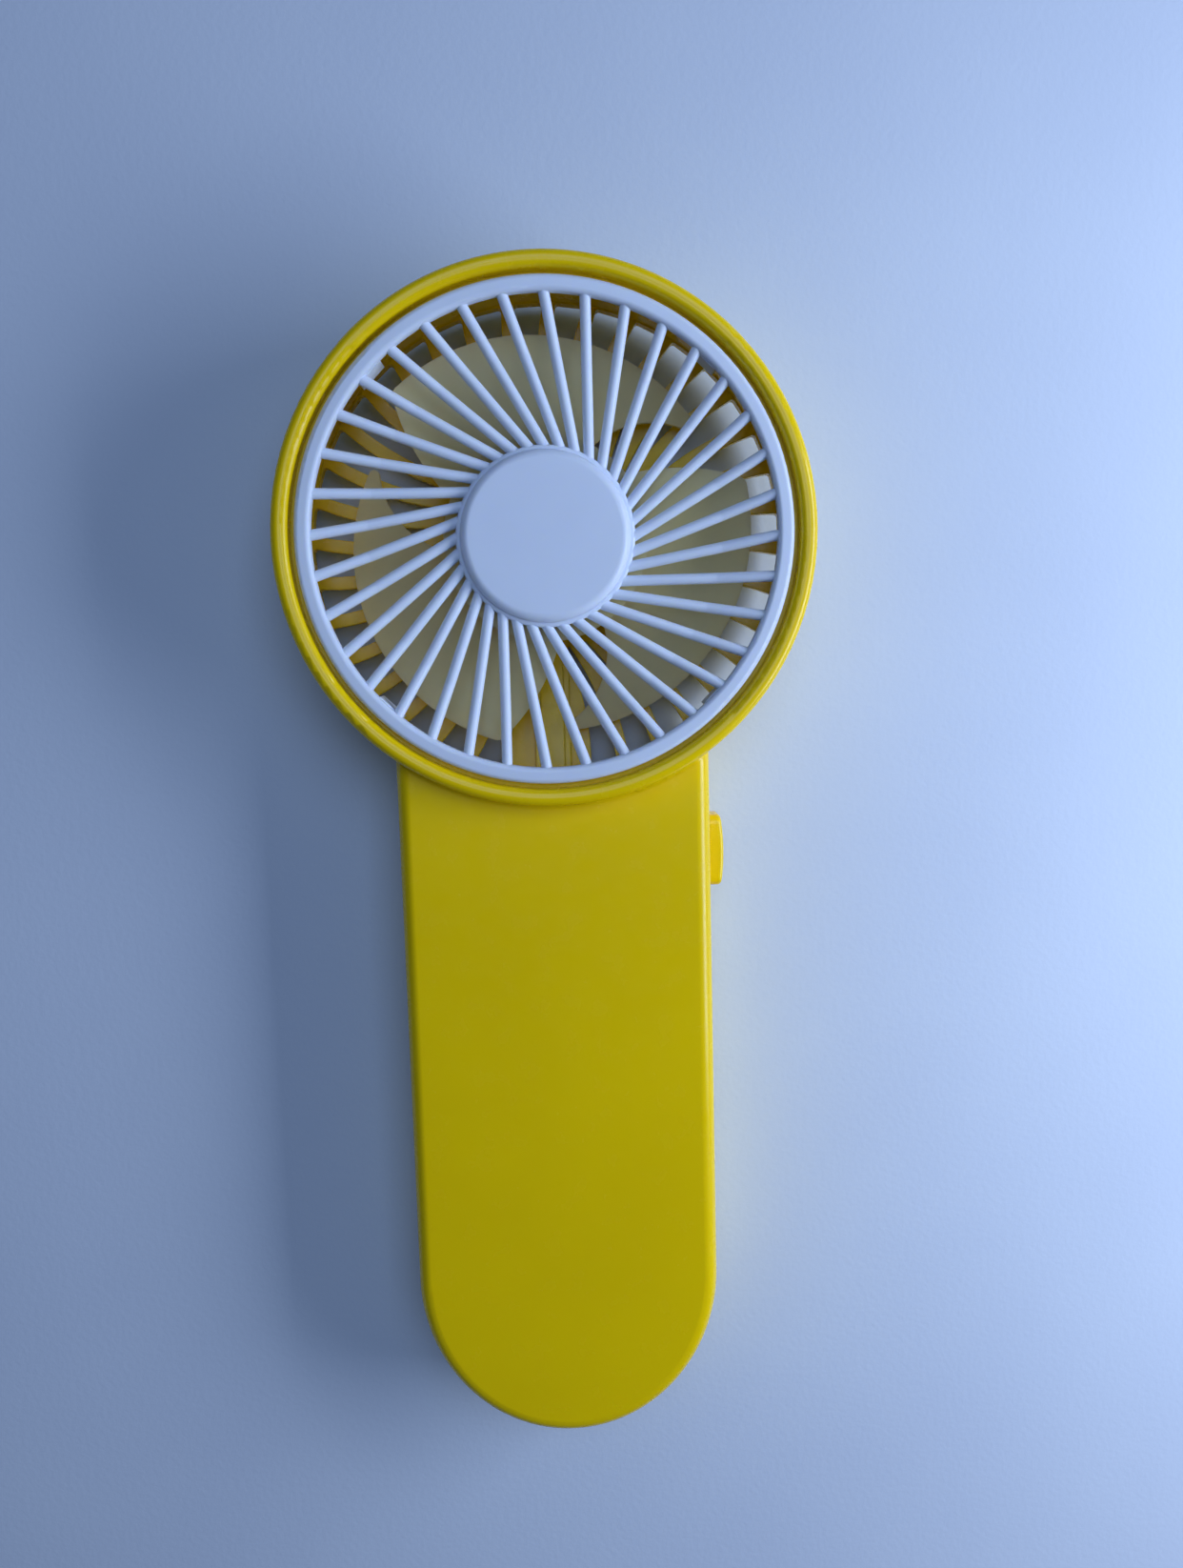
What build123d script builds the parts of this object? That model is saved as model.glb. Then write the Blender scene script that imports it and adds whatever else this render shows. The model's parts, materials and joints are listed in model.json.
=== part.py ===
from build123d import *
from math import cos, degrees, radians, sin, sqrt
import os

# Handheld electric fan, in millimetres.
# X runs to the right, Z runs up the handle towards the head, and the air leaves along -Y.
# The origin is the middle of the handle's flat back face, so "depth" below always means the
# distance in front of that back plane: a feature at depth d lies at Y = -d.

# ---------------------------------------------------------------- overall size
HEAD_RADIUS = 45.0
HEAD_Z = 103.0
HANDLE_WIDTH = 54.0
HANDLE_DEPTH = 20.0
HANDLE_REACH = 161.5
CAP_LENGTH = 30.0
WALL = 2.0
SPLIT_DEPTH = 10.0
FRONT_FILLET = 2.4
BACK_FILLET = 3.0
PARTING_BEVEL = 0.25

HANDLE_BOTTOM_Z = HEAD_Z - HANDLE_REACH
CAP_Z = HANDLE_BOTTOM_Z + CAP_LENGTH
HALF_WIDTH = HANDLE_WIDTH / 2

# ---------------------------------------------------------------- head casing
RING_DEPTH = 24.4
RIM_CREST_DEPTH = 24.7
RIM_RADIUS = 1.45
DUCT_RADIUS = 42.2
DUCT_WALL = 1.8
DRUM_BACK_RADIUS = 44.0
LEDGE_DEPTH = 21.6
LEDGE_THICKNESS = 1.4
LEDGE_RADIUS = 39.7

# ---------------------------------------------------------------- rear grille
DISH_RISE = 3.2
DISH_THICKNESS = 2.2
DISH_FLAT_RADIUS = 17.5
RIB_COUNT = 36
REAR_SLOT_INNER = 18.5
REAR_SLOT_OUTER = 42.0
REAR_RIB_WIDTH = 2.3
REAR_RIB_PHASE = -0.6
CONDUIT_ANGLE = 271.0
CONDUIT_WIDTH = 6.4
CONDUIT_HEIGHT = 1.6
CHANNEL_WIDTH = 2.7
COVER_WIDTH = 4.2
COVER_THICKNESS = 0.4
GROOVE_INNER = 6.0
GROOVE_OUTER = DISH_FLAT_RADIUS + 2.6
GROOVE_DEPTH = 0.9
DISH_SLOPE = DISH_RISE / (DRUM_BACK_RADIUS - DISH_FLAT_RADIUS)

# ---------------------------------------------------------------- front grille
RING_OUTER = 41.1
RING_INNER = 38.4
RING_THICKNESS = 2.4
RING_EDGE = 0.8
FRONT_RIB_DIAMETER = 1.8
FRONT_RIB_TANGENT = 7.6
RIB_OUTER_REACH = 39.3
RIB_KNEE_REACH = 29.5
RIB_HUB_REACH = 14.2
RIB_OUTER_DEPTH = RING_DEPTH - 1.2
RIB_KNEE_DEPTH = RING_DEPTH - 3.3
RIB_HUB_DEPTH = RING_DEPTH - 4.4
HUB_FLANGE_RADIUS = 15.0
HUB_FLANGE_DEPTH = RING_DEPTH - 3.4
HUB_BACK_DEPTH = RING_DEPTH - 5.6
HUB_FLANGE_ROUND = 0.5
HUB_TOP_RADIUS = 14.2
HUB_TOP_DEPTH = RING_DEPTH - 1.7
HUB_TOP_ROUND = 1.4
CLIP_ANGLES = (46, 136, 226, 316)
CLIP_WIDTH = 5.0
CLIP_INNER = 38.2
CLIP_BACK = 18.8
CLIP_HOOK = 1.0

# ---------------------------------------------------------------- impeller
BLADE_COUNT = 3
BLADE_TIP = 35.5
BLADE_TIP_LEADING = 33.3
BLADE_THICKNESS = 1.1
BLADE_SPAN = 105.0
BLADE_TIP_ANGLE = 135.3
BLADE_TIP_FRONT = 15.6
BLADE_RISE = 8.4
TRAILING_SWEEP = 22.0
LEADING_SWEEP = 34.0
ROTOR_HUB_RADIUS = 17.3
ROTOR_HUB_WALL = 1.4
ROTOR_HUB_FRONT = 17.8
ROTOR_HUB_BACK = 6.0
ROTOR_BOSS_RADIUS = 3.2
ROTOR_BOSS_BACK = 16.2

# ---------------------------------------------------------------- motor
MOTOR_RADIUS = 12.2
MOTOR_BACK = DISH_THICKNESS + 0.1
MOTOR_FRONT = 14.4
MOTOR_BOSS_HEIGHT = 1.4
CAN_WALL = 0.8
CUP_WALL = 1.5
CUP_GAP = 0.05
CUP_OUTER = MOTOR_RADIUS + CUP_GAP + CUP_WALL
CUP_HEIGHT = 9.0
END_CAP_THICKNESS = 1.2
REAR_BUSH_BACK = 2.7
REAR_BUSH_FRONT = 4.6
SHAFT_BACK = 2.9
SHAFT_RADIUS = 1.0
BUSH_RADIUS = 2.4
BUSH_CLEARANCE = 0.03
BUSH_LENGTH = 3.0
MOTOR_BOSS_RADIUS = 3.4
MAGNET_THICKNESS = 1.8
MAGNET_GAP = 3.0
MAGNET_BACK = 5.0
MAGNET_LENGTH = 8.0
CORE_RADIUS = 9.2
CORE_BACK = 7.2
CORE_FRONT = 11.4
POLE_COUNT = 5
WINDING_HEIGHT = 1.2
COMMUTATOR_RADIUS = 2.4
COMMUTATOR_BACK = 4.8
BRUSH_THICKNESS = 0.3
BRUSH_LENGTH = 6.4
BRUSH_HEIGHT = 1.2

# ---------------------------------------------------------------- handle contents
BUTTON_Z = HEAD_Z - 55.2
BUTTON_DEPTH = 10.0
BUTTON_LENGTH = 12.8
BUTTON_WIDTH = 7.0
BUTTON_PROUD = 3.0
BUTTON_TRAVEL = 0.6
BUTTON_INNER_X = HALF_WIDTH - WALL - 1.1
BUTTON_CROWN = 0.5
BUTTON_GAP = 0.12
FLANGE_THICKNESS = 1.0

BOARD_BACK = 6.2
BOARD_THICKNESS = 1.2
BOARD_FRONT = BOARD_BACK + BOARD_THICKNESS
BOARD_LEFT = -24.0
BOARD_RIGHT = 20.8
BOARD_BOTTOM = 28.0
BOARD_TOP = 55.0
BOARD_SCREWS = ((-17.0, 32.0), (10.0, 32.0))
BOARD_SCREW_RADIUS = 0.9
BOARD_POST_RADIUS = 2.2
BOARD_SCREW_TIP = WALL + 0.3
BOARD_SCREW_HEAD_RADIUS = 1.8
BOARD_SCREW_HEAD_HEIGHT = 1.1

SWITCH_SIZE = 6.0
SWITCH_X = 17.0
SWITCH_LENGTH = 4.5
PLUNGER_DEPTH = 1.8
PLUNGER_RADIUS = 1.75

PORT_WIDTH = 8.94
PORT_HEIGHT = 3.26
PORT_LENGTH = 7.3
PORT_SHELL = 0.3
PORT_END = 0.6
TONGUE_RECESS = 1.0
TONGUE_WIDTH = 6.7
TONGUE_THICKNESS = 0.7
PORT_Z = 41.0
PORT_DEPTH = BOARD_FRONT + PORT_HEIGHT / 2
PORT_MOUTH_X = -26.4

LIGHT_Z = 50.5
LIGHT_RADIUS = 1.0
LIGHT_DEPTH = 8.6
LIGHT_LENGTH = 4.4
LED_WIDTH = 1.6
LED_LENGTH = 3.0
LED_HEIGHT = 2.0

CELL_LENGTH = 50.0
CELL_WIDTH = 34.0
CELL_THICKNESS = 10.0
CELL_BACK = 5.0
CELL_Z = -7.5
PAD_GAP = 0.05
PAD_WIDTH = 24.0
PAD_LENGTH = 36.0

WIRE_RADIUS = 0.55
WIRE_BEND = 1.0

SCREW_SHANK = 1.1
SCREW_HEAD_RADIUS = 2.1
SCREW_HEAD_HEIGHT = 1.5
SCREW_SEAT = 4.0
SCREW_TIP = 14.5
SCREW_WELL_RADIUS = 2.4
SLOT_LENGTH = 2.6
SLOT_WIDTH = 0.55
SLOT_DEPTH = 0.8
BOSS_RADIUS = 3.2
SHELL_SCREWS = ((-21.0, 59.3), (21.0, 59.3), (-21.2, 22.0), (21.2, 22.0), (-13.0, -41.0), (13.0, -41.0))

# Planes: the head is drawn from the front in head_plane, and turned in HEAD_PROFILE,
# whose x is the radius and whose y is the depth.
HEAD_AXIS = Axis((0, 0, HEAD_Z), (0, -1, 0))
HEAD_PROFILE = Plane(origin=(0, 0, HEAD_Z), x_dir=(1, 0, 0), z_dir=(0, 0, -1))


def head_plane(depth):
    """Plane facing the user, centred on the head, at a depth in front of the back plane."""
    return Plane(origin=(0, -depth, HEAD_Z), x_dir=(1, 0, 0), z_dir=(0, -1, 0))


def handle_plane(depth):
    """Plane facing the user, centred on the handle's back face, at a depth."""
    return Plane.XZ.offset(depth)


def side_plane(x):
    """Plane facing right: its x runs up the handle and its y is the depth."""
    return Plane(origin=(x, 0, 0), x_dir=(0, 0, 1), z_dir=(1, 0, 0))


def polar(radius, angle):
    """Point on the head plane at a radius and an angle in degrees."""
    return (radius * cos(radians(angle)), radius * sin(radians(angle)))


def handle_outline(depth, inset=0.0, clear_of_head=0.0):
    """Handle outline: straight sides, elliptical lower end, open under the head."""
    half = HALF_WIDTH - inset
    with BuildSketch(handle_plane(depth)) as outline:
        with Locations((0, CAP_Z)):
            Ellipse(half, CAP_LENGTH - inset)
        with Locations((0, (CAP_Z + HEAD_Z) / 2)):
            Rectangle(2 * half, HEAD_Z - CAP_Z)
        if clear_of_head:
            with Locations((0, HEAD_Z)):
                Circle(clear_of_head, mode=Mode.SUBTRACT)
    return outline.sketch


def wire(points):
    """Insulated wire along straight runs with rounded bends."""
    with BuildPart() as solid:
        with BuildLine() as path:
            FilletPolyline(*points, radius=WIRE_BEND)
        with BuildSketch(Plane(origin=path.line @ 0, z_dir=path.line % 0)):
            Circle(WIRE_RADIUS)
        sweep(path=path.line)
    return solid.part


def button_section(plane, grow=0.0):
    """Rounded outline of the push button, seen from the side."""
    with BuildSketch(plane) as section:
        with Locations((BUTTON_Z, BUTTON_DEPTH)):
            RectangleRounded(BUTTON_LENGTH + 2 * grow, BUTTON_WIDTH + 2 * grow, 1.6 + grow)
    return section.sketch


def port_section(plane, grow=0.0):
    """Obround outline of the charging port, seen from the side."""
    with BuildSketch(plane) as section:
        with Locations((PORT_Z, PORT_DEPTH)):
            SlotOverall(PORT_WIDTH + 2 * grow, PORT_HEIGHT + 2 * grow)
    return section.sketch


# ================================================================ front shell
# Handle front and bezel are one moulding: the bezel stands proud of the handle face.
RIM_CENTRE = (HEAD_RADIUS - RIM_RADIUS, RIM_CREST_DEPTH - RIM_RADIUS)
with BuildPart() as front_shell:
    extrude(handle_outline(SPLIT_DEPTH), amount=HANDLE_DEPTH - SPLIT_DEPTH)
    fillet(front_shell.faces().sort_by(Axis.Y)[0].edges(), FRONT_FILLET)
    with BuildSketch(HEAD_PROFILE):
        with BuildLine():
            Polyline((0, SPLIT_DEPTH), (HEAD_RADIUS - 0.5, SPLIT_DEPTH), (HEAD_RADIUS, RIM_CENTRE[1]))
            RadiusArc((HEAD_RADIUS, RIM_CENTRE[1]), (RIM_CENTRE[0], RIM_CREST_DEPTH), -RIM_RADIUS)
            Line((RIM_CENTRE[0], RIM_CREST_DEPTH), (0, RIM_CREST_DEPTH))
            Line((0, RIM_CREST_DEPTH), (0, SPLIT_DEPTH))
        make_face()
    revolve(axis=HEAD_AXIS)
    # The bezel runs down into the handle face through a soft root fillet.
    root_edges = front_shell.edges().filter_by(
        lambda e: abs(e.center().Y + HANDLE_DEPTH) < 0.01
        and abs((e @ 0.5 - Vector(0, -HANDLE_DEPTH, HEAD_Z)).length - HEAD_RADIUS) < 0.5
    )
    fillet(root_edges, 1.1)
    # Fine bevel along the parting line with the rear shell.
    chamfer(front_shell.faces().sort_by(Axis.Y)[-1].outer_wire().edges(), PARTING_BEVEL)
    # Inside of the handle, with the head's duct wall left standing.
    extrude(
        handle_outline(SPLIT_DEPTH, WALL, DUCT_RADIUS + DUCT_WALL),
        amount=HANDLE_DEPTH - SPLIT_DEPTH - WALL,
        mode=Mode.SUBTRACT,
    )
    # Air duct, with a ledge that the front grille rests on and clips behind.
    with BuildSketch(HEAD_PROFILE):
        with BuildLine():
            Polyline(
                (0, SPLIT_DEPTH - 1),
                (DUCT_RADIUS, SPLIT_DEPTH - 1),
                (DUCT_RADIUS, LEDGE_DEPTH - LEDGE_THICKNESS),
                (LEDGE_RADIUS, LEDGE_DEPTH - LEDGE_THICKNESS),
                (LEDGE_RADIUS, LEDGE_DEPTH),
                (DUCT_RADIUS - 0.1, LEDGE_DEPTH),
                (DUCT_RADIUS - 0.1, RIM_CREST_DEPTH + 1),
                (0, RIM_CREST_DEPTH + 1),
                close=True,
            )
        make_face()
    revolve(axis=HEAD_AXIS, mode=Mode.SUBTRACT)
    inner_rim = front_shell.edges().filter_by(
        lambda e: abs(e.center().Y + RIM_CREST_DEPTH) < 0.01
        and abs((e @ 0.5 - Vector(0, -RIM_CREST_DEPTH, HEAD_Z)).length - DUCT_RADIUS + 0.1) < 0.05
    )
    fillet(inner_rim, 1.1)
    # Screw bosses reach back to the parting plane, with pilot holes for the screws.
    with BuildSketch(handle_plane(SPLIT_DEPTH)):
        with Locations(SHELL_SCREWS):
            Circle(BOSS_RADIUS)
    extrude(amount=HANDLE_DEPTH - SPLIT_DEPTH - WALL)
    with BuildSketch(handle_plane(SPLIT_DEPTH)):
        with Locations(SHELL_SCREWS):
            Circle(SCREW_SHANK + 0.02)
    extrude(amount=SCREW_TIP + 1 - SPLIT_DEPTH, mode=Mode.SUBTRACT)
    # Openings in the side walls, shared with the rear shell.
    extrude(button_section(side_plane(HALF_WIDTH - 4), BUTTON_GAP), amount=6, mode=Mode.SUBTRACT)
    extrude(port_section(side_plane(-HALF_WIDTH - 1), 0.2), amount=5, mode=Mode.SUBTRACT)

# ================================================================ rear shell
# Handle back, dished rear grille, motor cup and wire conduit are one moulding.
def dish_front(radius):
    """Depth of the dished plate's front surface at a radius."""
    return DISH_THICKNESS + max(0.0, radius - DISH_FLAT_RADIUS) * DISH_SLOPE


def rear_slot_side(direction):
    """Three points along one bowed side of the slot that lies at angle zero."""
    points = []
    for radius, bow in ((REAR_SLOT_INNER, -5.2), (30.0, 0.0), (REAR_SLOT_OUTER, -1.6)):
        rib_half_angle = degrees(REAR_RIB_WIDTH / 2 / radius)
        points.append(polar(radius, bow + direction * (180 / RIB_COUNT - rib_half_angle)))
    return points


def conduit_side(inner, outer, below, above):
    """Side view of the conduit between two radii, from below to above the dish's front surface."""
    radii = (inner, DISH_FLAT_RADIUS, outer)
    floor = [(-dish_front(radius) - below, HEAD_Z - radius) for radius in radii]
    roof = [(-dish_front(radius) - above, HEAD_Z - radius) for radius in reversed(radii)]
    with BuildSketch(Plane.YZ) as section:
        with BuildLine():
            Polyline(*floor, *roof, close=True)
        make_face()
    return section.sketch


left_side = rear_slot_side(1)
right_side = rear_slot_side(-1)
with BuildSketch() as rear_slot:
    with BuildLine():
        ThreePointArc(*left_side)
        Line(left_side[2], right_side[2])
        ThreePointArc(*reversed(right_side))
        Line(right_side[0], left_side[0])
    make_face()
    fillet(rear_slot.vertices().sort_by(Axis.X)[-2:], 0.6)
    fillet(rear_slot.vertices().sort_by(Axis.X)[:2], 0.35)

slot_angles = [REAR_RIB_PHASE + (number + 0.5) * 360 / RIB_COUNT for number in range(RIB_COUNT)]
slot_places = [Location((0, 0, 0), (0, 0, a)) for a in slot_angles if abs(a - CONDUIT_ANGLE) > 8]

with BuildPart() as rear_shell:
    extrude(handle_outline(0, 0, DUCT_RADIUS + 0.8), amount=SPLIT_DEPTH)
    fillet(rear_shell.faces().sort_by(Axis.Y)[-1].edges(), BACK_FILLET)
    extrude(
        handle_outline(WALL, WALL, DUCT_RADIUS + DUCT_WALL),
        amount=SPLIT_DEPTH - WALL,
        mode=Mode.SUBTRACT,
    )
    # Drum wall and dished plate, with a rounded shoulder between them.
    with BuildSketch(HEAD_PROFILE) as drum_section:
        with BuildLine():
            Polyline(
                (0, 0),
                (DISH_FLAT_RADIUS, 0),
                (DRUM_BACK_RADIUS, DISH_RISE),
                (HEAD_RADIUS - 0.5, SPLIT_DEPTH),
                (DUCT_RADIUS, SPLIT_DEPTH),
                (DUCT_RADIUS, dish_front(DUCT_RADIUS)),
                (DISH_FLAT_RADIUS, DISH_THICKNESS),
                (0, DISH_THICKNESS),
                close=True,
            )
        make_face()
        shoulder = drum_section.vertices().sort_by_distance((DRUM_BACK_RADIUS, -DISH_RISE, HEAD_Z))[0]
        fillet(shoulder, 1.8)
    revolve(axis=HEAD_AXIS)
    # Fine bevel along the parting line with the front shell.
    chamfer(rear_shell.faces().sort_by(Axis.Y)[0].outer_wire().edges(), PARTING_BEVEL)
    # Slots between the ribs, except where the conduit crosses.
    with BuildSketch(head_plane(-1)):
        with Locations(*slot_places):
            add(rear_slot.sketch)
    extrude(amount=DISH_RISE + DISH_THICKNESS + 1.5, mode=Mode.SUBTRACT)
    # Motor cup.
    with BuildSketch(head_plane(DISH_THICKNESS / 2)):
        Circle(MOTOR_RADIUS + CUP_GAP + CUP_WALL)
        Circle(MOTOR_RADIUS + CUP_GAP, mode=Mode.SUBTRACT)
    extrude(amount=CUP_HEIGHT)
    # Raised conduit with an open wire channel and a rebate for its cover.
    extrude(
        conduit_side(CUP_OUTER - 0.3, DUCT_RADIUS + 0.5, -1, CONDUIT_HEIGHT),
        amount=CONDUIT_WIDTH / 2,
        both=True,
    )
    extrude(
        conduit_side(CUP_OUTER + 0.5, DUCT_RADIUS + 5, 0.02, 9),
        amount=CHANNEL_WIDTH / 2,
        both=True,
        mode=Mode.SUBTRACT,
    )
    extrude(
        conduit_side(CUP_OUTER + 0.5, DUCT_RADIUS - 0.4, CONDUIT_HEIGHT - COVER_THICKNESS, 9),
        amount=COVER_WIDTH / 2 + 0.05,
        both=True,
        mode=Mode.SUBTRACT,
    )
    # Groove that takes the wires out from under the motor.
    with BuildSketch(head_plane(GROOVE_DEPTH)):
        with Locations((0, -(GROOVE_INNER + GROOVE_OUTER) / 2)):
            Rectangle(CHANNEL_WIDTH, GROOVE_OUTER - GROOVE_INNER)
    extrude(amount=dish_front(GROOVE_OUTER) - GROOVE_DEPTH + 0.05, mode=Mode.SUBTRACT)
    # Screw bosses, each with a well for the screw head, and posts for the circuit board.
    with BuildSketch(handle_plane(WALL / 2)):
        with Locations(SHELL_SCREWS):
            Circle(BOSS_RADIUS)
    extrude(amount=SPLIT_DEPTH - WALL / 2)
    with BuildSketch(handle_plane(WALL / 2)):
        with Locations(BOARD_SCREWS):
            Circle(BOARD_POST_RADIUS)
    extrude(amount=BOARD_BACK - WALL / 2)
    with BuildSketch(handle_plane(WALL)):
        with Locations(BOARD_SCREWS):
            Circle(BOARD_SCREW_RADIUS + 0.02)
    extrude(amount=BOARD_BACK, mode=Mode.SUBTRACT)
    with BuildSketch(handle_plane(-1)):
        with Locations(SHELL_SCREWS):
            Circle(SCREW_WELL_RADIUS)
    extrude(amount=1 + SCREW_SEAT, mode=Mode.SUBTRACT)
    with BuildSketch(handle_plane(0)):
        with Locations(SHELL_SCREWS):
            Circle(SCREW_SHANK + 0.15)
    extrude(amount=SPLIT_DEPTH, mode=Mode.SUBTRACT)
    # Openings in the side walls.
    extrude(button_section(side_plane(HALF_WIDTH - 4), BUTTON_GAP), amount=6, mode=Mode.SUBTRACT)
    extrude(port_section(side_plane(-HALF_WIDTH - 1), 0.2), amount=5, mode=Mode.SUBTRACT)
    with BuildSketch(side_plane(-HALF_WIDTH - 1)):
        with Locations((LIGHT_Z, LIGHT_DEPTH)):
            Circle(LIGHT_RADIUS + 0.03)
    extrude(amount=5, mode=Mode.SUBTRACT)

# ================================================================ wire cover
COVER_BACK = CONDUIT_HEIGHT - COVER_THICKNESS
with BuildPart() as wire_cover:
    extrude(
        conduit_side(CUP_OUTER + 0.6, DUCT_RADIUS - 0.5, COVER_BACK, CONDUIT_HEIGHT),
        amount=COVER_WIDTH / 2,
        both=True,
    )

# ================================================================ front grille
# One rib is modelled about the Z axis and copied round the head.
def rib_point(reach, depth):
    """Point on the rib's centre line at a distance from the head's axis."""
    return Vector(FRONT_RIB_TANGENT, sqrt(reach**2 - FRONT_RIB_TANGENT**2), depth)


hub_end = rib_point(RIB_HUB_REACH, RIB_HUB_DEPTH)
knee = rib_point(RIB_KNEE_REACH, RIB_KNEE_DEPTH)
ring_end = rib_point(RIB_OUTER_REACH, RIB_OUTER_DEPTH)
with BuildPart() as front_rib:
    for end in (hub_end, ring_end):
        with BuildSketch(Plane(origin=knee, z_dir=end - knee)):
            Circle(FRONT_RIB_DIAMETER / 2)
        extrude(amount=(end - knee).length)
    with Locations(knee):
        Sphere(FRONT_RIB_DIAMETER / 2)

with BuildPart() as front_grille:
    with BuildSketch(HEAD_PROFILE):
        with Locations(((RING_OUTER + RING_INNER) / 2, RING_DEPTH - RING_THICKNESS / 2)):
            RectangleRounded(RING_OUTER - RING_INNER, RING_THICKNESS, RING_EDGE)
    revolve(axis=HEAD_AXIS)
    # Hub: a flange that the ribs run into, and a raised cap with a soft edge.
    with BuildSketch(HEAD_PROFILE):
        with BuildLine():
            Polyline(
                (0, HUB_BACK_DEPTH),
                (HUB_FLANGE_RADIUS, HUB_BACK_DEPTH),
                (HUB_FLANGE_RADIUS, HUB_FLANGE_DEPTH - HUB_FLANGE_ROUND),
            )
            RadiusArc(
                (HUB_FLANGE_RADIUS, HUB_FLANGE_DEPTH - HUB_FLANGE_ROUND),
                (HUB_FLANGE_RADIUS - HUB_FLANGE_ROUND, HUB_FLANGE_DEPTH),
                -HUB_FLANGE_ROUND,
            )
            Polyline(
                (HUB_FLANGE_RADIUS - HUB_FLANGE_ROUND, HUB_FLANGE_DEPTH),
                (HUB_TOP_RADIUS, HUB_FLANGE_DEPTH),
                (HUB_TOP_RADIUS, HUB_TOP_DEPTH - HUB_TOP_ROUND),
            )
            RadiusArc(
                (HUB_TOP_RADIUS, HUB_TOP_DEPTH - HUB_TOP_ROUND),
                (HUB_TOP_RADIUS - HUB_TOP_ROUND, HUB_TOP_DEPTH),
                -HUB_TOP_ROUND,
            )
            Polyline(
                (HUB_TOP_RADIUS - HUB_TOP_ROUND, HUB_TOP_DEPTH),
                (0, HUB_TOP_DEPTH),
                (0, HUB_BACK_DEPTH),
            )
        make_face()
    revolve(axis=HEAD_AXIS)
    with Locations(head_plane(0)):
        with PolarLocations(0, RIB_COUNT):
            add(front_rib.part)
    # Snap clips: a leg inside the casing's ledge, and a hook behind it.
    leg_radius = (CLIP_INNER + LEDGE_RADIUS - 0.15) / 2
    for angle in CLIP_ANGLES:
        with BuildSketch(head_plane(CLIP_BACK)):
            with Locations(Location((0, 0, 0), (0, 0, angle))):
                with Locations((leg_radius, 0)):
                    Rectangle(LEDGE_RADIUS - 0.15 - CLIP_INNER, CLIP_WIDTH)
        extrude(amount=RING_DEPTH - RING_THICKNESS / 2 - CLIP_BACK)
        with BuildSketch(head_plane(CLIP_BACK)):
            with Locations(Location((0, 0, 0), (0, 0, angle))):
                with Locations((LEDGE_RADIUS - 0.3 + CLIP_HOOK / 2, 0)):
                    Rectangle(CLIP_HOOK + 0.3, CLIP_WIDTH)
        extrude(amount=LEDGE_DEPTH - LEDGE_THICKNESS - 0.05 - CLIP_BACK)

# ================================================================ impeller
# Blade surface: a helicoid that runs deeper clockwise, trimmed to the blade's outline.
SHEET_START = BLADE_TIP_ANGLE - BLADE_SPAN - 6
SHEET_TURN = BLADE_SPAN + TRAILING_SWEEP + 12
BLADE_PITCH = BLADE_RISE * 360 / BLADE_SPAN
sheet_height = BLADE_PITCH * SHEET_TURN / 360
sheet_depth = BLADE_TIP_FRONT - BLADE_RISE - BLADE_PITCH * 6 / 360
root_helix = Helix(BLADE_PITCH, sheet_height, ROTOR_HUB_RADIUS - 2, mode=Mode.PRIVATE)
tip_helix = Helix(BLADE_PITCH, sheet_height, BLADE_TIP + 2, mode=Mode.PRIVATE)
blade_sheet = Location((0, 0, sheet_depth), (0, 0, SHEET_START)) * Face.make_surface_from_curves(
    root_helix.edge(), tip_helix.edge()
)
blade_root = ROTOR_HUB_RADIUS - 0.7
blade_middle = 27.0
leading_angle = BLADE_TIP_ANGLE - BLADE_SPAN
trailing_edge = (
    polar(blade_root, BLADE_TIP_ANGLE + TRAILING_SWEEP),
    polar(blade_middle, BLADE_TIP_ANGLE + 0.42 * TRAILING_SWEEP),
    polar(BLADE_TIP, BLADE_TIP_ANGLE),
)
leading_edge = (
    polar(BLADE_TIP_LEADING, leading_angle),
    polar(blade_middle, leading_angle + 0.54 * LEADING_SWEEP),
    polar(blade_root, leading_angle + LEADING_SWEEP),
)
tip_middle = polar((BLADE_TIP + BLADE_TIP_LEADING) / 2, BLADE_TIP_ANGLE - BLADE_SPAN / 2)
root_middle = polar(blade_root, BLADE_TIP_ANGLE - 25)
with BuildPart() as blade:
    thicken(blade_sheet, amount=BLADE_THICKNESS / 2, both=True)
    with BuildSketch() as blade_outline:
        with BuildLine():
            ThreePointArc(*trailing_edge)
            ThreePointArc(trailing_edge[2], tip_middle, leading_edge[0])
            ThreePointArc(*leading_edge)
            ThreePointArc(leading_edge[2], root_middle, trailing_edge[0])
        make_face()
        fillet(blade_outline.vertices().sort_by_distance(trailing_edge[2])[0], 1.8)
        fillet(blade_outline.vertices().sort_by_distance(leading_edge[0])[0], 0.9)
    extrude(amount=RING_DEPTH, mode=Mode.INTERSECT)

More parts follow.
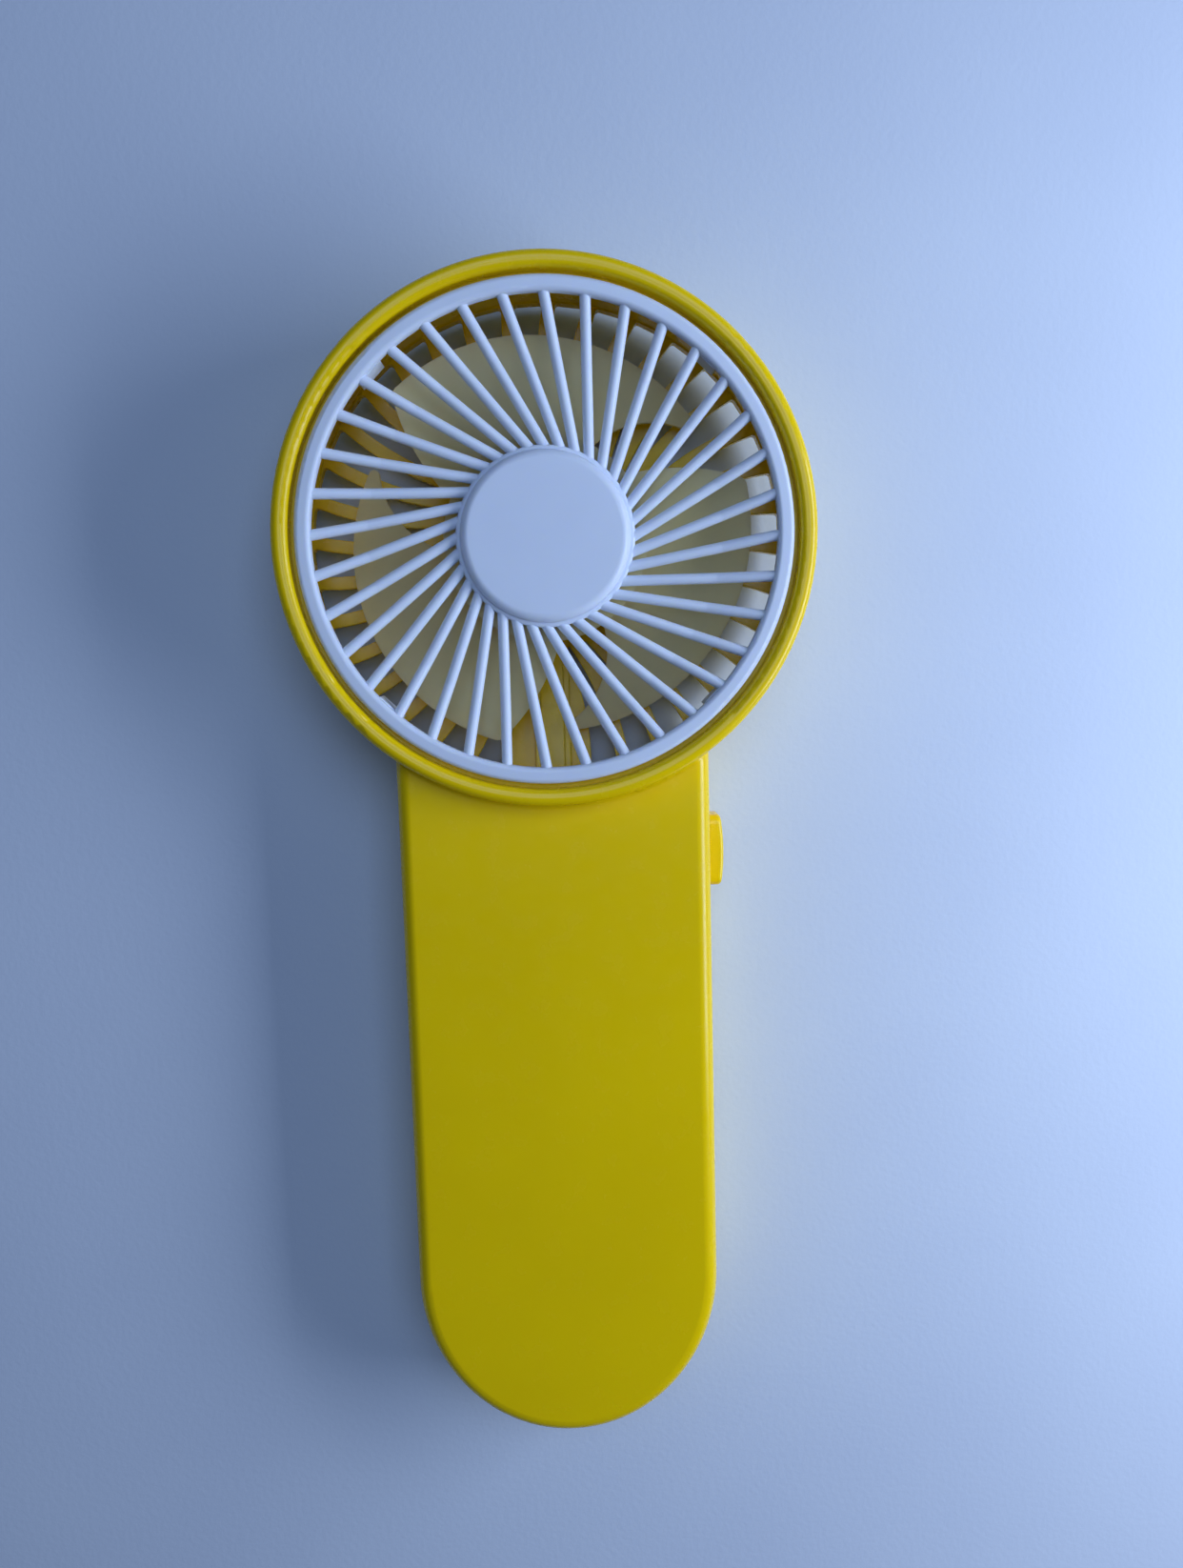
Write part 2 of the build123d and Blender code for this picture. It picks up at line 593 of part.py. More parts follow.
with BuildPart() as impeller:
    with BuildSketch(HEAD_PROFILE) as hub_section:
        with BuildLine():
            Polyline(
                (SHAFT_RADIUS, ROTOR_BOSS_BACK),
                (ROTOR_BOSS_RADIUS, ROTOR_BOSS_BACK),
                (ROTOR_BOSS_RADIUS, ROTOR_HUB_FRONT - ROTOR_HUB_WALL),
                (ROTOR_HUB_RADIUS - ROTOR_HUB_WALL, ROTOR_HUB_FRONT - ROTOR_HUB_WALL),
                (ROTOR_HUB_RADIUS - ROTOR_HUB_WALL, ROTOR_HUB_BACK),
                (ROTOR_HUB_RADIUS, ROTOR_HUB_BACK),
                (ROTOR_HUB_RADIUS, ROTOR_HUB_FRONT),
                (SHAFT_RADIUS, ROTOR_HUB_FRONT),
                close=True,
            )
        make_face()
        front_corner = (ROTOR_HUB_RADIUS, -ROTOR_HUB_FRONT, HEAD_Z)
        fillet(hub_section.vertices().sort_by_distance(front_corner)[0], 1.2)
    revolve(axis=HEAD_AXIS)
    with Locations(head_plane(0)):
        with PolarLocations(0, BLADE_COUNT):
            add(blade.part)

# ================================================================ motor
with BuildPart() as motor_can:
    with BuildSketch(HEAD_PROFILE):
        with BuildLine():
            Polyline(
                (MOTOR_RADIUS - CAN_WALL, MOTOR_BACK),
                (MOTOR_RADIUS, MOTOR_BACK),
                (MOTOR_RADIUS, MOTOR_FRONT),
                (MOTOR_BOSS_RADIUS, MOTOR_FRONT),
                (MOTOR_BOSS_RADIUS, MOTOR_FRONT + MOTOR_BOSS_HEIGHT),
                (BUSH_RADIUS, MOTOR_FRONT + MOTOR_BOSS_HEIGHT),
                (BUSH_RADIUS, MOTOR_FRONT - CAN_WALL),
                (MOTOR_RADIUS - CAN_WALL, MOTOR_FRONT - CAN_WALL),
                close=True,
            )
        make_face()
    revolve(axis=HEAD_AXIS)

with BuildPart() as motor_end_cap:
    with BuildSketch(head_plane(MOTOR_BACK)):
        Circle(MOTOR_RADIUS - CAN_WALL)
    extrude(amount=END_CAP_THICKNESS)
    with BuildSketch(head_plane(MOTOR_BACK + END_CAP_THICKNESS)):
        Circle(BUSH_RADIUS + 0.8)
    extrude(amount=REAR_BUSH_FRONT - MOTOR_BACK - END_CAP_THICKNESS)
    with BuildSketch(head_plane(REAR_BUSH_BACK)):
        Circle(BUSH_RADIUS)
    extrude(amount=BUSH_LENGTH + 1, mode=Mode.SUBTRACT)

with BuildPart() as motor_magnets:
    with BuildSketch(head_plane(MAGNET_BACK)):
        Circle(MOTOR_RADIUS - CAN_WALL)
        Circle(MOTOR_RADIUS - CAN_WALL - MAGNET_THICKNESS, mode=Mode.SUBTRACT)
        Rectangle(MAGNET_GAP, 2 * MOTOR_RADIUS, mode=Mode.SUBTRACT)
    extrude(amount=MAGNET_LENGTH)

with BuildPart() as motor_bushes:
    for bush_back in (REAR_BUSH_BACK, MOTOR_FRONT + MOTOR_BOSS_HEIGHT - BUSH_LENGTH):
        with BuildSketch(head_plane(bush_back)):
            Circle(BUSH_RADIUS)
            Circle(SHAFT_RADIUS + BUSH_CLEARANCE, mode=Mode.SUBTRACT)
        extrude(amount=BUSH_LENGTH if bush_back > MOTOR_FRONT / 2 else REAR_BUSH_FRONT - REAR_BUSH_BACK)

with BuildPart() as motor_shaft:
    with BuildSketch(head_plane(SHAFT_BACK)):
        Circle(SHAFT_RADIUS)
    extrude(amount=ROTOR_HUB_FRONT - SHAFT_BACK - 0.2)
    chamfer(motor_shaft.faces().filter_by(Axis.Y).edges(), 0.15)

with BuildPart() as armature_core:
    with BuildSketch(head_plane(CORE_BACK)):
        Circle(CORE_RADIUS)
        with PolarLocations(CORE_RADIUS, POLE_COUNT, start_angle=180 / POLE_COUNT):
            Rectangle(3.6, 1.2, mode=Mode.SUBTRACT)
        with PolarLocations(CORE_RADIUS - 3.6, POLE_COUNT, start_angle=180 / POLE_COUNT):
            Circle(2.0, mode=Mode.SUBTRACT)
        Circle(SHAFT_RADIUS, mode=Mode.SUBTRACT)
    extrude(amount=CORE_FRONT - CORE_BACK)

with BuildPart() as armature_windings:
    for winding_back in (CORE_BACK - WINDING_HEIGHT, CORE_FRONT):
        with BuildSketch(head_plane(winding_back)):
            with PolarLocations(CORE_RADIUS - 3.4, POLE_COUNT):
                RectangleRounded(3.4, 4.2, 0.8)
        extrude(amount=WINDING_HEIGHT)

with BuildPart() as commutator:
    with BuildSketch(head_plane(COMMUTATOR_BACK)):
        Circle(COMMUTATOR_RADIUS)
        Circle(SHAFT_RADIUS, mode=Mode.SUBTRACT)
        with PolarLocations(COMMUTATOR_RADIUS, POLE_COUNT):
            Rectangle(0.8, 0.3, mode=Mode.SUBTRACT)
    extrude(amount=CORE_BACK - COMMUTATOR_BACK)

with BuildPart() as motor_brushes:
    for side in (-1, 1):
        with BuildSketch(head_plane(REAR_BUSH_FRONT)):
            with Locations((side * (COMMUTATOR_RADIUS + 0.05 + BRUSH_THICKNESS / 2), -1.6)):
                Rectangle(BRUSH_THICKNESS, BRUSH_LENGTH)
        extrude(amount=BRUSH_HEIGHT)

# ================================================================ motor leads
def motor_lead(x):
    """Lead from under the motor, along the conduit, down onto the circuit board."""
    lie = WIRE_RADIUS + 0.05
    climb_start = CUP_OUTER + 1.6
    climb_end = DISH_FLAT_RADIUS + 2.0
    return wire(
        [
            (x, -GROOVE_DEPTH - lie, HEAD_Z - GROOVE_INNER - 0.6),
            (x, -GROOVE_DEPTH - lie, HEAD_Z - climb_start),
            (x, -dish_front(climb_end) - lie, HEAD_Z - climb_end),
            (x, -dish_front(DUCT_RADIUS) - lie, HEAD_Z - DUCT_RADIUS),
            (x, -BOARD_FRONT - lie, BOARD_TOP + 1.2),
            (x, -BOARD_FRONT - lie, BOARD_TOP - 3.0),
        ]
    )


with BuildPart() as motor_wire_red:
    add(motor_lead(-CHANNEL_WIDTH / 2 + WIRE_RADIUS + 0.08))

with BuildPart() as motor_wire_black:
    add(motor_lead(CHANNEL_WIDTH / 2 - WIRE_RADIUS - 0.08))

# ================================================================ push button and switch
with BuildPart() as power_button:
    button_reach = HALF_WIDTH + BUTTON_PROUD - BUTTON_INNER_X
    extrude(button_section(side_plane(BUTTON_INNER_X)), amount=button_reach)
    # Crowned outer face.
    with BuildSketch(Plane.XZ):
        with BuildLine():
            outer_x = HALF_WIDTH + BUTTON_PROUD
            low = (outer_x - BUTTON_CROWN, BUTTON_Z - BUTTON_LENGTH / 2)
            high = (outer_x - BUTTON_CROWN, BUTTON_Z + BUTTON_LENGTH / 2)
            ThreePointArc(low, (outer_x, BUTTON_Z), high)
            Polyline(high, (BUTTON_INNER_X, high[1]), (BUTTON_INNER_X, low[1]), low)
        make_face()
    extrude(amount=HANDLE_DEPTH, mode=Mode.INTERSECT)
    fillet(power_button.edges().filter_by(lambda e: e.center().X > HALF_WIDTH + 1.5), 0.7)
    extrude(button_section(side_plane(BUTTON_INNER_X), 1.1), amount=FLANGE_THICKNESS)

with BuildPart() as switch_body:
    with BuildSketch(side_plane(SWITCH_X)):
        with Locations((BUTTON_Z, BUTTON_DEPTH)):
            Rectangle(SWITCH_SIZE, 2 * (BUTTON_DEPTH - BOARD_FRONT))
    extrude(amount=SWITCH_LENGTH)
    with BuildSketch(side_plane(SWITCH_X + SWITCH_LENGTH - PLUNGER_DEPTH)):
        with Locations((BUTTON_Z, BUTTON_DEPTH)):
            Circle(PLUNGER_RADIUS + 0.05)
    extrude(amount=PLUNGER_DEPTH, mode=Mode.SUBTRACT)

with BuildPart() as switch_plunger:
    with BuildSketch(side_plane(SWITCH_X + SWITCH_LENGTH - PLUNGER_DEPTH + BUTTON_TRAVEL + 0.2)):
        with Locations((BUTTON_Z, BUTTON_DEPTH)):
            Circle(PLUNGER_RADIUS)
    extrude(amount=BUTTON_INNER_X - (SWITCH_X + SWITCH_LENGTH - PLUNGER_DEPTH + BUTTON_TRAVEL + 0.2))

# ================================================================ circuit board
with BuildPart() as circuit_board:
    with BuildSketch(handle_plane(BOARD_BACK)):
        with Locations(((BOARD_LEFT + BOARD_RIGHT) / 2, (BOARD_BOTTOM + BOARD_TOP) / 2)):
            RectangleRounded(BOARD_RIGHT - BOARD_LEFT, BOARD_TOP - BOARD_BOTTOM, 1.5)
        with Locations(BOARD_SCREWS):
            Circle(BOARD_SCREW_RADIUS + 0.15, mode=Mode.SUBTRACT)
    extrude(amount=BOARD_THICKNESS)

# Control chip, charger chip, inductor, capacitors, each soldered to the board's front.
COMPONENTS = (
    ((-4.0, 43.0), (5.0, 4.4), 1.5),
    ((-10.5, 35.0), (3.2, 3.0), 1.1),
    ((-13.0, 49.0), (4.0, 4.0), 2.0),
    ((3.5, 36.0), (1.6, 0.9), 0.8),
    ((7.0, 45.0), (1.6, 0.9), 0.8),
    ((-6.0, 50.5), (1.6, 0.9), 0.8),
)
with BuildPart() as board_components:
    for centre, footprint, height in COMPONENTS:
        with BuildSketch(handle_plane(BOARD_FRONT)):
            with Locations(centre):
                Rectangle(*footprint)
        extrude(amount=height)

with BuildPart() as board_screws:
    with BuildSketch(handle_plane(BOARD_SCREW_TIP)):
        with Locations(BOARD_SCREWS):
            Circle(BOARD_SCREW_RADIUS)
    extrude(amount=BOARD_FRONT - BOARD_SCREW_TIP)
    with BuildSketch(handle_plane(BOARD_FRONT)):
        with Locations(BOARD_SCREWS):
            Circle(BOARD_SCREW_HEAD_RADIUS)
    extrude(amount=BOARD_SCREW_HEAD_HEIGHT)

with BuildPart() as usb_port:
    extrude(port_section(side_plane(PORT_MOUTH_X)), amount=PORT_LENGTH)
    extrude(
        port_section(side_plane(PORT_MOUTH_X), -PORT_SHELL),
        amount=PORT_LENGTH - PORT_END,
        mode=Mode.SUBTRACT,
    )
    # Contact tongue.
    with BuildSketch(side_plane(PORT_MOUTH_X + TONGUE_RECESS)):
        with Locations((PORT_Z, PORT_DEPTH)):
            Rectangle(TONGUE_WIDTH, TONGUE_THICKNESS)
    extrude(amount=PORT_LENGTH - PORT_END - TONGUE_RECESS + 0.4)

with BuildPart() as charge_light:
    with BuildSketch(side_plane(-HALF_WIDTH)):
        with Locations((LIGHT_Z, LIGHT_DEPTH)):
            Circle(LIGHT_RADIUS)
    extrude(amount=LIGHT_LENGTH)

with BuildPart() as charge_led:
    with BuildSketch(handle_plane(BOARD_FRONT)):
        with Locations((-HALF_WIDTH + LIGHT_LENGTH + 0.1 + LED_WIDTH / 2, LIGHT_Z)):
            Rectangle(LED_WIDTH, LED_LENGTH)
    extrude(amount=LED_HEIGHT)

# ================================================================ battery
with BuildPart() as battery_cell:
    with BuildSketch(handle_plane(CELL_BACK)):
        with Locations((0, CELL_Z)):
            Rectangle(CELL_WIDTH, CELL_LENGTH)
    extrude(amount=CELL_THICKNESS)
    fillet(battery_cell.edges().filter_by(Axis.Z), 3.0)
    fillet(battery_cell.faces().filter_by(Axis.Z).edges(), 0.6)

# Foam pads hold the cell off the rear shell and off the front shell.
with BuildPart() as battery_pads:
    for pad_back, pad_front in ((WALL, CELL_BACK), (CELL_BACK + CELL_THICKNESS, HANDLE_DEPTH - WALL)):
        with BuildSketch(handle_plane(pad_back + PAD_GAP)):
            with Locations((0, CELL_Z)):
                RectangleRounded(PAD_WIDTH, PAD_LENGTH, 2)
        extrude(amount=pad_front - pad_back - 2 * PAD_GAP)


def battery_lead(x):
    """Lead from the top of the cell onto the lower edge of the circuit board."""
    cell_top = CELL_Z + CELL_LENGTH / 2
    lie = WIRE_RADIUS + 0.05
    return wire(
        [
            (x, -CELL_BACK - CELL_THICKNESS / 2, cell_top + 0.05),
            (x, -CELL_BACK - CELL_THICKNESS / 2, cell_top + 3.0),
            (x + 0.8, -BOARD_FRONT - lie - 0.6, BOARD_BOTTOM - 1.5),
            (x + 0.8, -BOARD_FRONT - lie, BOARD_BOTTOM + 1.2),
            (x + 0.8, -BOARD_FRONT - lie, BOARD_BOTTOM + 3.0),
        ]
    )


with BuildPart() as battery_wire_red:
    add(battery_lead(-6.0))

with BuildPart() as battery_wire_black:
    add(battery_lead(-1.0))

# ================================================================ shell screws
with BuildPart() as shell_screws:
    with BuildSketch(handle_plane(SCREW_SEAT)):
        with Locations(SHELL_SCREWS):
            Circle(SCREW_SHANK)
    extrude(amount=SCREW_TIP - SCREW_SEAT)
    with BuildSketch(handle_plane(SCREW_SEAT - SCREW_HEAD_HEIGHT)):
        with Locations(SHELL_SCREWS):
            Circle(SCREW_HEAD_RADIUS)
    extrude(amount=SCREW_HEAD_HEIGHT)
    fillet(shell_screws.faces().sort_by(Axis.Y)[-len(SHELL_SCREWS):].edges(), 0.5)
    with BuildSketch(handle_plane(SCREW_SEAT - SCREW_HEAD_HEIGHT)):
        with Locations(SHELL_SCREWS):
            Rectangle(SLOT_LENGTH, SLOT_WIDTH, rotation=45)
            Rectangle(SLOT_LENGTH, SLOT_WIDTH, rotation=-45)
    extrude(amount=SLOT_DEPTH, mode=Mode.SUBTRACT)

# ================================================================ export
PIECES = {
    "front_shell": front_shell,
    "rear_shell": rear_shell,
    "wire_cover": wire_cover,
    "front_grille": front_grille,
    "impeller": impeller,
    "motor_can": motor_can,
    "motor_end_cap": motor_end_cap,
    "motor_magnets": motor_magnets,
    "motor_bushes": motor_bushes,
    "motor_brushes": motor_brushes,
    "motor_shaft": motor_shaft,
    "armature_core": armature_core,
    "armature_windings": armature_windings,
    "commutator": commutator,
    "motor_wire_red": motor_wire_red,
    "motor_wire_black": motor_wire_black,
    "power_button": power_button,
    "switch_body": switch_body,
    "switch_plunger": switch_plunger,
    "circuit_board": circuit_board,
    "board_components": board_components,
    "board_screws": board_screws,
    "usb_port": usb_port,
    "charge_light": charge_light,
    "charge_led": charge_led,
    "battery_cell": battery_cell,
    "battery_pads": battery_pads,
    "battery_wire_red": battery_wire_red,
    "battery_wire_black": battery_wire_black,
    "shell_screws": shell_screws,
}
os.makedirs("parts", exist_ok=True)
for name, piece in PIECES.items():
    piece.part.label = name
    export_step(piece.part, f"parts/{name}.step")
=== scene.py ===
import json
from math import radians

import bpy
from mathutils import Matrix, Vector


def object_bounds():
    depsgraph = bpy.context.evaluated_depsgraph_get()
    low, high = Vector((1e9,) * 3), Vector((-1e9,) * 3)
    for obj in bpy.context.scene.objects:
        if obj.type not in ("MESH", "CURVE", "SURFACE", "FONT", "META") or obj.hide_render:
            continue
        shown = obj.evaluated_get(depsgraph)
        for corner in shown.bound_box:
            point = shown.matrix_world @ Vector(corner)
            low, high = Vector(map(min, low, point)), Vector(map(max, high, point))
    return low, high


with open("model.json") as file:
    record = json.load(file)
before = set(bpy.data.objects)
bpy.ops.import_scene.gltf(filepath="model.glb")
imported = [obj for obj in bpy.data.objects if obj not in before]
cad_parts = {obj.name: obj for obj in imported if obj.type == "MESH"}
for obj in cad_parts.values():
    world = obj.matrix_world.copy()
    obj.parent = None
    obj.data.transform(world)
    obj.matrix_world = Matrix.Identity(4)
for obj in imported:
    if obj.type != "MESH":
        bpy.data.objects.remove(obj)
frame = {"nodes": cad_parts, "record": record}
cad_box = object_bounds()
nodes = frame["nodes"]
MM = 0.001

# The head is round, centred at the top of the fan; its bezel's front edge is a half-round rim.
HEAD_RADIUS = (cad_box[1].x - cad_box[0].x) / 2
HEAD_CENTRE = Vector((0, cad_box[0].y, cad_box[1].z - HEAD_RADIUS))
RIM_RADIUS = 1.45 * MM

# The rim's facets lie no farther than this from the true rim.
FACET_DEPTH = 0.04 * MM
BEVEL_SAMPLES = 4

# The fan lies on its back on a pale table top: the table is the plane Y = 0, and the viewer looks along +Y.


# ---------------------------------------------------------------- material helpers
class Shader:
    """A node material with a Principled surface, and short calls for the textures that feed it."""

    def __init__(self, name, colour, roughness, **settings):
        self.material = bpy.data.materials.new(name)
        self.material.use_nodes = True
        self.tree = self.material.node_tree
        self.surface = self.tree.nodes["Principled BSDF"]
        self.set(Base_Color=(*colour, 1), Roughness=roughness, **settings)
        self.place = self.node("ShaderNodeTexCoord").outputs["Object"]

    def node(self, kind, **inputs):
        made = self.tree.nodes.new(kind)
        for name, value in inputs.items():
            made.inputs[name.replace("_", " ")].default_value = value
        return made

    def link(self, output, target):
        self.tree.links.new(output, target)

    def set(self, **inputs):
        for name, value in inputs.items():
            self.surface.inputs[name.replace("_", " ")].default_value = value

    def noise(self, size, detail=4.0, stretch=(1, 1, 1)):
        """Noise with features of a size in millimetres, from 0 to 1."""
        mapping = self.node("ShaderNodeMapping", Scale=stretch)
        self.link(self.place, mapping.inputs["Vector"])
        texture = self.node("ShaderNodeTexNoise", Scale=1 / (size * MM), Detail=detail)
        self.link(mapping.outputs["Vector"], texture.inputs["Vector"])
        return texture.outputs["Fac"]

    def spread(self, source, low, high, low_at=0.3, high_at=0.7):
        """A 0 to 1 source turned into values between low and high."""
        fit = self.node("ShaderNodeMapRange", From_Min=low_at, From_Max=high_at, To_Min=low, To_Max=high)
        self.link(source, fit.inputs["Value"])
        return fit.outputs["Result"]

    def blend(self, source, first, second):
        """Colour between first and second, by a 0 to 1 source."""
        mix = self.tree.nodes.new("ShaderNodeMix")
        mix.data_type = "RGBA"
        self.link(source, mix.inputs["Factor"])
        for socket, colour in ((mix.inputs[6], first), (mix.inputs[7], second)):
            if isinstance(colour, tuple):
                socket.default_value = (*colour, 1)
            else:
                self.link(colour, socket)
        return mix.outputs[2]

    def colour(self, output):
        self.link(output, self.surface.inputs["Base Color"])
        return self

    def roughness(self, output):
        self.link(output, self.surface.inputs["Roughness"])
        return self

    def soften(self, radius):
        """Rounds the look of sharp edges within a radius in millimetres, as a moulding tool does."""
        rounding = self.node("ShaderNodeBevel", Radius=radius * MM)
        rounding.samples = BEVEL_SAMPLES
        self.link(rounding.outputs["Normal"], self.surface.inputs["Normal"])
        return self

    def operate(self, kind, operation, operands):
        """Maths node of a kind, fed with outputs or constants."""
        step = self.tree.nodes.new(kind)
        step.operation = operation
        for target, value in zip(step.inputs, operands):
            if hasattr(value, "node"):
                self.link(value, target)
            else:
                target.default_value = value
        return step

    def vector(self, operation, *operands):
        """Vector that an operation gives."""
        return self.operate("ShaderNodeVectorMath", operation, operands).outputs["Vector"]

    def measure(self, operation, *operands):
        """Number that an operation on vectors gives."""
        return self.operate("ShaderNodeVectorMath", operation, operands).outputs["Value"]

    def number(self, operation, *operands):
        """Number that an operation on numbers gives."""
        return self.operate("ShaderNodeMath", operation, operands).outputs["Value"]

    def cover(self, other, share):
        """Mixes another shader's output with the surface: a share of 1 leaves only the other."""
        mix = self.tree.nodes.new("ShaderNodeMixShader")
        if hasattr(share, "node"):
            self.link(share, mix.inputs["Fac"])
        else:
            mix.inputs["Fac"].default_value = share
        self.link(self.surface.outputs[0], mix.inputs[1])
        self.link(other, mix.inputs[2])
        self.link(mix.outputs[0], self.tree.nodes["Material Output"].inputs["Surface"])

    def true_rim(self, centre, ring_radius, tube_radius):
        """Exact normals on a ring-shaped rim whose axis runs along Y, in place of those of its facets."""
        from_centre = self.vector("SUBTRACT", self.place, centre)
        towards = self.vector("NORMALIZE", self.vector("MULTIPLY", from_centre, (1, 0, 1)))
        core = self.vector("MULTIPLY", towards, (ring_radius, 0, ring_radius))
        outward = self.vector("SUBTRACT", from_centre, core)
        on_rim = self.number("COMPARE", self.measure("LENGTH", outward), tube_radius, FACET_DEPTH)
        choose = self.tree.nodes.new("ShaderNodeMix")
        choose.data_type = "VECTOR"
        normal = self.surface.inputs["Normal"]
        self.link(on_rim, choose.inputs["Factor"])
        self.link(normal.links[0].from_socket, choose.inputs[4])
        self.link(self.vector("NORMALIZE", outward), choose.inputs[5])
        self.link(choose.outputs[1], normal)
        return self

    def bump(self, height, depth):
        """Surface relief of a depth in millimetres, laid over any relief already there."""
        relief = self.node("ShaderNodeBump", Distance=depth * MM)
        self.link(height, relief.inputs["Height"])
        normal = self.surface.inputs["Normal"]
        if normal.is_linked:
            self.link(normal.links[0].from_socket, relief.inputs["Normal"])
        self.link(relief.outputs["Normal"], normal)
        return self


def tinted(colour, factor):
    return tuple(channel * factor for channel in colour)


# ---------------------------------------------------------------- materials
def moulded_plastic(name, colour, roughness, scatter, edge=0.25, rim=None, texture=0.0006):
    """Opaque moulded plastic: soft edges, fine spark texture, faint flow clouding and uneven polish."""
    shader = Shader(name, colour, roughness, IOR=1.49, Subsurface_Weight=scatter)
    shader.set(Subsurface_Radius=(1, 0.8, 0.35), Subsurface_Scale=1.2 * MM, Specular_IOR_Level=0.4)
    clouds = shader.noise(26, detail=2)
    shader.colour(shader.blend(shader.spread(clouds, 0, 1), tinted(colour, 0.95), colour))
    shader.roughness(shader.spread(shader.noise(4), roughness - 0.05, roughness + 0.06))
    shader.soften(edge)
    if rim:
        shader.true_rim(*rim)
    shader.bump(shader.noise(9, detail=2), texture * 4)
    return shader.bump(shader.noise(0.16, detail=2), texture)


def yellow_plastic():
    bezel_rim = (HEAD_CENTRE + Vector((0, RIM_RADIUS, 0)), HEAD_RADIUS - RIM_RADIUS, RIM_RADIUS)
    return moulded_plastic("yellow_plastic", (0.98, 0.66, 0.0), 0.24, 0.15, edge=0.4, rim=bezel_rim)


def white_plastic():
    return moulded_plastic("white_plastic", (0.74, 0.80, 0.93), 0.34, 0.25)


def black_plastic():
    return moulded_plastic("black_plastic", (0.018, 0.018, 0.02), 0.45, 0.0)


def milky_plastic():
    """Translucent natural polymer: light from behind glows through, and its skin is matte."""
    shader = Shader("milky_plastic", (0.93, 0.82, 0.47), 0.42, IOR=1.49)
    shader.set(Subsurface_Weight=0.6, Subsurface_Radius=(1, 0.9, 0.6), Subsurface_Scale=2.5 * MM)
    clouds = shader.spread(shader.noise(14, detail=3), 0, 1)
    shader.colour(shader.blend(clouds, (0.90, 0.79, 0.43), (0.96, 0.86, 0.53)))
    shader.roughness(shader.spread(shader.noise(3), 0.38, 0.50))
    shader.bump(shader.noise(0.2, detail=2), 0.001)
    glow = shader.node("ShaderNodeBsdfTranslucent", Color=(1.0, 0.90, 0.58, 1))
    shader.cover(glow.outputs[0], 0.38)
    return shader


def metal(name, colour, roughness, grain=(1, 1, 1), depth=0.003):
    """Metal with a fine grain: stretch it to draw the grain out along an axis."""
    shader = Shader(name, colour, roughness, Metallic=1.0)
    grains = shader.noise(0.4, detail=4, stretch=grain)
    shader.colour(shader.blend(shader.spread(shader.noise(5), 0, 1), tinted(colour, 0.82), colour))
    shader.roughness(shader.spread(grains, roughness - 0.08, roughness + 0.12))
    return shader.bump(grains, depth)


def circuit_board():
    """Green solder mask over copper tracks that show as faint raised lines."""
    shader = Shader("board_green", (0.02, 0.16, 0.06), 0.3, Coat_Weight=0.4)
    tracks = shader.node("ShaderNodeTexBrick", Scale=220.0, Mortar_Size=0.09)
    shader.link(shader.place, tracks.inputs["Vector"])
    lines = tracks.outputs["Fac"]
    shader.colour(shader.blend(lines, (0.015, 0.13, 0.05), (0.05, 0.27, 0.10)))
    shader.roughness(shader.spread(shader.noise(2), 0.25, 0.4))
    return shader.bump(lines, 0.03)


def insulation(name, colour):
    """Soft wire insulation with a dull, slightly dusty skin."""
    shader = Shader(name, colour, 0.5, Sheen_Weight=0.15)
    shader.colour(shader.blend(shader.spread(shader.noise(1.5), 0, 1), tinted(colour, 0.75), colour))
    shader.roughness(shader.spread(shader.noise(0.8), 0.42, 0.6))
    return shader.bump(shader.noise(0.3), 0.01)


def laminate_pouch():
    """Silver laminate with the soft wrinkles of a sealed pouch."""
    shader = Shader("cell_wrap", (0.60, 0.62, 0.65), 0.3, Metallic=0.7)
    clouds = shader.spread(shader.noise(8), 0, 1)
    shader.colour(shader.blend(clouds, (0.50, 0.52, 0.55), (0.66, 0.68, 0.70)))
    shader.roughness(shader.spread(shader.noise(3), 0.22, 0.42))
    return shader.bump(shader.noise(6, detail=3, stretch=(1, 1, 0.4)), 0.25)


def foam():
    """Closed-cell foam with open pores on its cut faces."""
    shader = Shader("foam", (0.05, 0.05, 0.055), 0.85)
    pores = shader.node("ShaderNodeTexVoronoi", Scale=1 / (0.45 * MM))
    shader.link(shader.place, pores.inputs["Vector"])
    cells = pores.outputs["Distance"]
    shader.colour(shader.blend(cells, (0.02, 0.02, 0.022), (0.09, 0.09, 0.10)))
    shader.roughness(shader.spread(cells, 0.95, 0.75, 0, 0.6))
    return shader.bump(cells, 0.12)


def ferrite():
    """Pressed ferrite: dark, matte and faintly speckled."""
    shader = Shader("ferrite", (0.03, 0.03, 0.033), 0.6, Metallic=0.2)
    specks = shader.spread(shader.noise(0.5), 0, 1)
    shader.colour(shader.blend(specks, (0.02, 0.02, 0.022), (0.06, 0.06, 0.065)))
    shader.roughness(shader.spread(shader.noise(1), 0.5, 0.75))
    return shader.bump(shader.noise(0.3), 0.02)


def clear_plastic():
    """Frosted clear polymer of the light guide and of its lamp."""
    shader = Shader("clear_plastic", (0.93, 0.95, 0.96), 0.25, IOR=1.49, Transmission_Weight=0.75)
    clouds = shader.spread(shader.noise(1), 0, 1)
    shader.colour(shader.blend(clouds, (0.86, 0.88, 0.90), (0.95, 0.96, 0.97)))
    shader.roughness(shader.spread(shader.noise(0.5), 0.18, 0.35))
    return shader.bump(shader.noise(0.2), 0.004)


